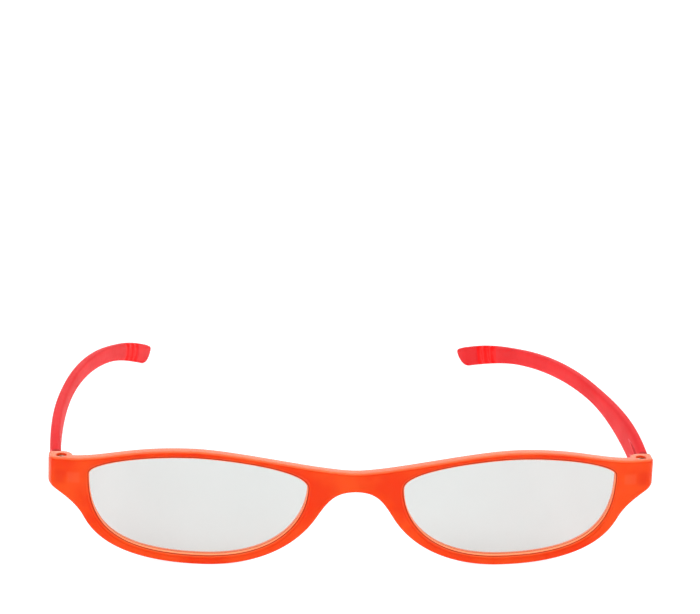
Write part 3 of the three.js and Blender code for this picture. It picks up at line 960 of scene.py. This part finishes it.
def show_mix(tree, factor, first, second):
    """Shows a mix of two shaders as the material's surface."""
    choice = tree.nodes.new("ShaderNodeMixShader")
    for socket, output in zip(choice.inputs, (factor, first, second)):
        tree.links.new(output, socket)
    tree.links.new(choice.outputs[0], tree.nodes["Material Output"].inputs["Surface"])


def haze_group():
    """Moulded plastic haze: soft clouds of colour, fine speckle in the gloss and a faint ripple in the surface."""
    group = bpy.data.node_groups.new("moulded_haze", "ShaderNodeTree")
    sockets = [
        ("Deep", "INPUT", "Color"),
        ("Light", "INPUT", "Color"),
        ("Cloud Size", "INPUT", "Float"),
        ("Color", "OUTPUT", "Color"),
        ("Gloss", "OUTPUT", "Float"),
        ("Ripple", "OUTPUT", "Float"),
    ]
    for name, way, kind in sockets:
        group.interface.new_socket(name, in_out=way, socket_type="NodeSocket" + kind)
    start = group.nodes.new("NodeGroupInput").outputs
    end = group.nodes.new("NodeGroupOutput").inputs
    clouds = ramp(group, noise(group, start["Cloud Size"], 3.0), 0.32, 0.68)
    group.links.new(color_mix(group, clouds, start["Deep"], start["Light"]), end["Color"])
    group.links.new(noise(group, 900.0), end["Gloss"])
    group.links.new(noise(group, 220.0), end["Ripple"])
    return group


HAZE = haze_group()


def haze(tree, deep, light, size):
    """The haze group with its two colours and the size of its clouds."""
    made = node(tree, "ShaderNodeGroup", node_tree=HAZE)
    settle(made, {"Deep": (*deep, 1), "Light": (*light, 1), "Cloud Size": size})
    return made


def gloss_and_ripple(tree, shader, haze_node, low, high, height):
    """Roughness from the speckle and a faint bump from the ripple."""
    tree.links.new(spread(tree, haze_node.outputs["Gloss"], low, high), shader.inputs["Roughness"])
    bump = node(tree, "ShaderNodeBump", Strength=0.12, Distance=height)
    tree.links.new(haze_node.outputs["Ripple"], bump.inputs["Height"])
    tree.links.new(bump.outputs["Normal"], shader.inputs["Normal"])


def orange_plastic():
    """Glossy translucent orange, lighter over the hinge pocket as painted light through its thin wall, and deeper
    over the tang inside the end piece. Painted highlights lighten the upper edges and the outer sides, and painted
    shade darkens the shoulder below the upper edge and the underside. Round each opening runs a pale lip of
    painted light that also fills the lens groove, a thin dark line of painted shade and a slightly lighter band."""
    material, tree, shader = new_material("orange_plastic")
    clouds = haze(tree, (0.92, 0.046, 0.003), (1.0, 0.088, 0.009), 90.0)
    where = tree.nodes.new("ShaderNodeTexCoord")
    split = tree.nodes.new("ShaderNodeSeparateXYZ")
    tree.links.new(where.outputs["Object"], split.inputs[0])
    side = math_node(tree, "ABSOLUTE", split.outputs["X"])
    up = split.outputs["Z"]

    def patch(inner, outer, low, high, soft):
        across = band(tree, side, (hinge_x + inner) * MM, (hinge_x + outer) * MM, soft * MM)
        upright = band(tree, up, (end_middle + low) * MM, (end_middle + high) * MM, soft * MM)
        return math_node(tree, "MULTIPLY", across, upright)

    top, outer, ring = (attribute(tree, name) for name in ("top", "outer", "ring"))
    # each mask with its weight and colour: the painted light over the hinge pocket, the tang, the painted
    # highlight on the upper edge, the painted shade on the shoulder below it, the painted light on the outer
    # sides, the painted shade on the underside, and the band, the painted shade of the thin line and the painted
    # light of the lip round an opening
    tone = clouds.outputs["Color"]
    for mask, weight, color in [
        # painted light: lighter over the hollow hinge pocket, where light passes through the thin wall
        (patch(-4.1, -1.3, -1.6, 0.8, 0.4), 0.33, (1.0, 0.15, 0.05)),
        (patch(-0.9, 1.5, -2.0, 1.2, 0.7), 0.35, (0.8, 0.022, 0.004)),
        # painted highlight: surfaces that face up are lighter
        (ramp(tree, top, 0.25, 0.9), 0.75, (1.0, 0.2, 0.07)),
        # painted shade: the shoulder below the upper edge is darker
        (band(tree, top, 0.1, 0.38, 0.08), 0.4, (0.78, 0.035, 0.003)),
        # painted light: the outer sides of the end pieces are lighter
        (ramp(tree, outer, 0.55, 0.95), 0.6, (0.95, 0.2, 0.12)),
        # painted shade: surfaces that face down are darker
        (opposite(tree, ramp(tree, top, -0.75, -0.15)), 0.4, (0.8, 0.028, 0.003)),
        (band(tree, ring, 0.38, 0.78, 0.06), 0.3, (1.0, 0.12, 0.03)),
        # painted shade: the thin dark line in the small groove round each opening
        (band(tree, ring, 0.2, 0.36, 0.03), 0.85, (0.4, 0.015, 0.001)),
        # painted light: the pale lip round each opening, which also covers the shaded lens groove
        (band(tree, ring, -0.5, 0.2, 0.03), 0.75, PAINTED_LIP_LIGHT),
    ]:
        tone = tint(tree, tone, mask, weight, color)
    tree.links.new(tone, shader.inputs["Base Color"])
    # a trace of light in the lens groove, which stands for what the translucent lip passes on
    groove = opposite(tree, ramp(tree, ring, 0.02, 0.1))
    tree.links.new(math_node(tree, "MULTIPLY", groove, 0.5), shader.inputs["Emission Strength"])
    gloss_and_ripple(tree, shader, clouds, 0.16, 0.24, 0.00004)
    settle(shader, {
        "Emission Color": (*PAINTED_LIP_LIGHT, 1),
        "Specular IOR Level": 0.12,
        "Subsurface Weight": 0.4,
        "Subsurface Radius": (1.0, 0.18, 0.05),
        "Subsurface Scale": 0.0012,
    })
    return material


def red_plastic():
    """Translucent red, frosted on the faces: deeper and clearer along the upper and lower edges, with a painted
    highlight along the channels' borders and painted shade in the channels, purest in the grip grooves with a pale
    line between them, and darkest, as painted shade, on the tang and the face at the hinge, where they sit in the
    hinge slot."""
    material, tree, shader = new_material("red_plastic")
    clouds = haze(tree, (0.8, 0.014, 0.017), (0.88, 0.024, 0.028), 60.0)
    run, edge, channel = (attribute(tree, name) for name in ("along", "edge", "channel"))
    last = TEMPLE_LENGTH - GRIP_FROM_TIP
    first = last - (GRIP_COUNT - 1) * GRIP_PITCH
    ridges = [last - GRIP_PITCH * number for number in (0.5, 1.5)]
    # each mask with its weight and colour: the edges, the painted highlight on the channels' borders, the painted
    # shade in the channels, the grips, the ridges between them and the painted shade on the face at the hinge
    tone = clouds.outputs["Color"]
    for mask, weight, color in [
        (ramp(tree, edge, 0.72, 0.95), 0.6, (0.72, 0.006, 0.01)),
        # painted highlight: the pale borders of the channels
        (band(tree, channel, 0.03, 0.16, 0.02), 0.5, (0.95, 0.2, 0.22)),
        # painted shade: darker inside the channels
        (ramp(tree, channel, 0.14, 0.3), 0.6, (0.5, 0.008, 0.012)),
        (band(tree, run, first - GRIP_HALF, last + GRIP_HALF, 0.25), 0.95, (1.0, 0.0035, 0.003)),
        *[(band(tree, run, ridge - 0.3, ridge + 0.3, 0.15), 0.5, (1.0, 0.06, 0.06)) for ridge in ridges],
        # painted shade: the tang and the face at the hinge, deep in the hinge slot
        (opposite(tree, ramp(tree, run, 0.7, 1.5)), 0.8, (0.4, 0.004, 0.006)),
    ]:
        tone = tint(tree, tone, mask, weight, color)
    tree.links.new(tone, shader.inputs["Base Color"])
    gloss_and_ripple(tree, shader, clouds, 0.45, 0.58, 0.00004)
    settle(shader, {
        "Specular IOR Level": 0.06,
        "Subsurface Weight": 0.4,
        "Subsurface Radius": (1.0, 0.12, 0.1),
        "Subsurface Scale": 0.0012,
    })
    return material


def lens_plastic():
    """Clear polished plastic, very slightly grey, with a trace of haze in its gloss. Lamplight passes straight
    through it, so that the rims below are lit."""
    material, tree, shader = new_material("lens_plastic")
    clouds = haze(tree, (0.63, 0.66, 0.65), (0.65, 0.68, 0.67), 30.0)
    tree.links.new(clouds.outputs["Color"], shader.inputs["Base Color"])
    gloss_and_ripple(tree, shader, clouds, 0.0, 0.02, 0.000005)
    settle(shader, {"Transmission Weight": 1.0, "IOR": 1.49, "Specular IOR Level": 0.35})
    path = tree.nodes.new("ShaderNodeLightPath")
    shade = node(tree, "ShaderNodeBsdfTransparent", Color=(0.92, 0.93, 0.92, 1))
    show_mix(tree, path.outputs["Is Shadow Ray"], shader.outputs[0], shade.outputs[0])
    return material


def screw_steel():
    """Turned steel with a fine warm grain in its colour and its gloss."""
    material, tree, shader = new_material("screw_steel")
    grain = noise(tree, 4000.0)
    tree.links.new(spread(tree, grain, 0.18, 0.42), shader.inputs["Roughness"])
    tone = color_mix(tree, grain, (0.5, 0.42, 0.28, 1), (0.72, 0.66, 0.52, 1))
    tree.links.new(tone, shader.inputs["Base Color"])
    shader.inputs["Metallic"].default_value = 1.0
    return material


def matt_floor():
    """Plain white table with the faintest mottling, whose shadows are part faded for the camera."""
    material, tree, shader = new_material("white_table")
    clouds = haze(tree, (0.9, 0.9, 0.9), (0.91, 0.91, 0.91), 3.0)
    tree.links.new(clouds.outputs["Color"], shader.inputs["Base Color"])
    settle(shader, {
        "Roughness": 0.9,
        "Specular IOR Level": 0.0,
        "Emission Color": (1, 1, 1, 1),
        "Emission Strength": 0.2,
    })
    path = tree.nodes.new("ShaderNodeLightPath")
    glow = node(tree, "ShaderNodeEmission", Strength=1.3)
    share = math_node(tree, "MULTIPLY", path.outputs["Is Camera Ray"], 0.65)
    show_mix(tree, share, shader.outputs[0], glow.outputs[0])
    return material


# ---------------------------------------------------------------- assembly


def fit_out(piece, name, body, material):
    """Names a finished piece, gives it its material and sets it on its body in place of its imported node."""
    piece.name = name + "_moulded"
    piece.data.name = piece.name
    piece.data.materials.clear()
    piece.data.materials.append(material)
    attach(piece, body)
    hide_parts(name)


orange, red, clear, steel = orange_plastic(), red_plastic(), lens_plastic(), screw_steel()
fit_out(front_frame(), "front_frame", "front", orange)
for side_name, side in (("left", 1), ("right", -1)):
    fit_out(lens("lens", side), "lens_" + side_name, "front", clear)
blade_left = temple_left()
blade_right = mirrored(blade_left, "temple_blade_right")
fit_out(blade_left, "temple_left", "left_temple", red)
fit_out(blade_right, "temple_right", "right_temple", red)
screw_left = hinge_screw()
screw_right = mirrored(screw_left, "hinge_screw_twin")
fit_out(screw_left, "hinge_screw_left", "front", steel)
fit_out(screw_right, "hinge_screw_right", "front", steel)


# ---------------------------------------------------------------- table, light and camera

# Name, place, aim, size and power of each lamp, in metres and watts
SOFTBOXES = [
    ("overhead", (0.0, 0.1, 1.5), (0, 0, 0), (1.8, 1.8), 13),
    ("left_fill", (-1.3, -0.7, 0.9), (0, 0, 0), (1.0, 1.0), 9),
    ("right_fill", (1.3, -0.7, 0.9), (0, 0, 0), (1.0, 1.0), 9),
    ("back_panel", (0.0, 2.3, 0.95), (0, 0, 0.2), (3.2, 1.5), 22),
]
WORLD_STRENGTH = 0.35

# Azimuth, elevation and roll in degrees, then where the camera looks and from how far, in metres
CAMERA_ANGLES = (-5.683, 17.136, 2.2075)
CAMERA_AIM = (-0.001327, -0.058836, 0.056663)
CAMERA_DISTANCE = 0.7
CAMERA_LENS = 158.86

def table():
    """A wide flat sheet under the glasses, as a grid of four by four squares."""
    edge = np.linspace(-4, 4, 5)
    x, y = np.meshgrid(edge, edge)
    points = np.stack([x, y + 1, np.zeros_like(x)], -1).reshape(-1, 3)
    mesh = bpy.data.meshes.new("table")
    mesh.from_pydata(points.tolist(), [], grid_faces(5, 5)[:, ::-1].tolist())
    sheet = bpy.data.objects.new("table", mesh)
    bpy.context.scene.collection.objects.link(sheet)
    mesh.materials.append(matt_floor())


def softbox(name, place, aim, size, power):
    """A rectangular lamp at a place, turned to face the aim."""
    lamp = bpy.data.lights.new(name, "AREA")
    lamp.shape = "RECTANGLE"
    lamp.size, lamp.size_y = size
    lamp.energy = power
    holder = bpy.data.objects.new(name, lamp)
    bpy.context.scene.collection.objects.link(holder)
    holder.location = place
    holder.rotation_euler = (Vector(aim) - Vector(place)).to_track_quat("-Z", "Y").to_euler()


def camera():
    """Looks down on the pair from slightly to its right side, turned a little about its own axis."""
    azimuth, elevation, roll = map(math.radians, CAMERA_ANGLES)
    back = Vector((
        math.sin(azimuth) * math.cos(elevation),
        -math.cos(azimuth) * math.cos(elevation),
        math.sin(elevation),
    ))
    level = Vector((0, 0, 1)).cross(back).normalized()
    upright = back.cross(level)
    right = math.cos(roll) * level + math.sin(roll) * upright
    upright = back.cross(right)
    lens_data = bpy.data.cameras.new("camera")
    lens_data.sensor_width = 36
    lens_data.lens = CAMERA_LENS
    lens_data.clip_start = 0.05
    lens_data.clip_end = 20
    holder = bpy.data.objects.new("camera", lens_data)
    bpy.context.scene.collection.objects.link(holder)
    turn = Matrix((right, upright, back)).transposed().to_4x4()
    holder.matrix_world = Matrix.Translation(Vector(CAMERA_AIM) + back * CAMERA_DISTANCE) @ turn
    bpy.context.scene.camera = holder


table()
for lamp_values in SOFTBOXES:
    softbox(*lamp_values)
world = bpy.data.worlds.new("studio")
world.use_nodes = True
world.node_tree.nodes["Background"].inputs["Color"].default_value = (1, 1, 1, 1)
world.node_tree.nodes["Background"].inputs["Strength"].default_value = WORLD_STRENGTH
bpy.context.scene.world = world
bpy.context.scene.view_settings.view_transform = "Standard"
camera()
